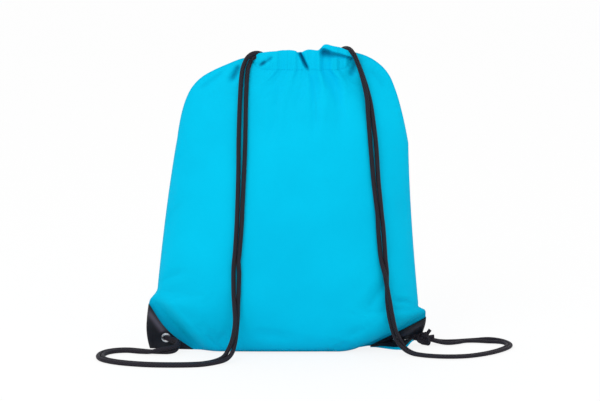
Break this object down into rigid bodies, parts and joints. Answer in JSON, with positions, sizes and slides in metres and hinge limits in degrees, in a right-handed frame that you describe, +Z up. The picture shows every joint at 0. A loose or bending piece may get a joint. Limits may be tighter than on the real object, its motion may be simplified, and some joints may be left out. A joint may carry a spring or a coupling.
{
  "type": "drawstring backpack",
  "caption": "Filled two-panel drawstring sack with a gathered corded mouth, two corded shoulder loops and reinforced eyelet corners.",
  "frame": {"origin": "middle of the bottom seam between the hips, on the floor", "axes": "+Z up, +X along the bottom seam towards the right-hand corner as seen from the shoulder-loop side, -Y towards the side that the loops hang down"},
  "size_m": [0.5125, 0.1615, 0.3759],
  "materials": {
    "fabric": "plain-weave polyester, slight sheen",
    "patch": "grained coated leather cloth, matt",
    "metal": "polished nickel plate",
    "cord": "braided polyester"
  },
  "bodies": {
    "bag": {"front_panel": "fabric", "back_panel": "fabric", "left_side_seam": "fabric", "right_side_seam": "fabric", "bottom_seam": "fabric", "left_front_patch": "patch", "left_back_patch": "patch", "right_front_patch": "patch", "right_back_patch": "patch", "left_eyelet": "metal", "left_eyelet_washer": "metal", "right_eyelet": "metal", "right_eyelet_washer": "metal", "left_knot": "cord", "right_knot": "cord", "left_eyelet_cord": "cord", "right_eyelet_cord": "cord", "left_cord_bight": "cord", "right_cord_bight": "cord"},
    "front_hem": {"front_tunnel": "fabric", "left_cord_front_run": "cord", "right_cord_front_run": "cord"},
    "back_hem": {"back_tunnel": "fabric", "left_cord_back_run": "cord", "right_cord_back_run": "cord"},
    "left_strap": {"left_strap_outer_strand": "cord", "left_strap_inner_strand": "cord"},
    "right_strap": {"right_strap_outer_strand": "cord", "right_strap_inner_strand": "cord"}
  },
  "joints": [
    {"name": "mouth_front_slide", "type": "slide", "parent": "bag", "child": "front_hem", "axis": [0, -1, 0], "range_m": [0, 0.045]},
    {"name": "mouth_back_slide", "type": "slide", "parent": "bag", "child": "back_hem", "axis": [0, 1, 0], "range_m": [0, 0.045]},
    {"name": "left_strap_swing", "type": "hinge", "parent": "bag", "child": "left_strap", "pos_m": [-0.142, -0.009, 0.013], "axis": [-0.2619, 0.0028, -0.9651], "range_deg": [0, 40]},
    {"name": "right_strap_swing", "type": "hinge", "parent": "bag", "child": "right_strap", "pos_m": [0.167, 0.038, 0.009], "axis": [-0.204, -0.1341, 0.9697], "range_deg": [0, 40]}
  ],
  "couplings": [
    {"joint": "mouth_back_slide", "follows": "mouth_front_slide", "ratio": 1}
  ]
}
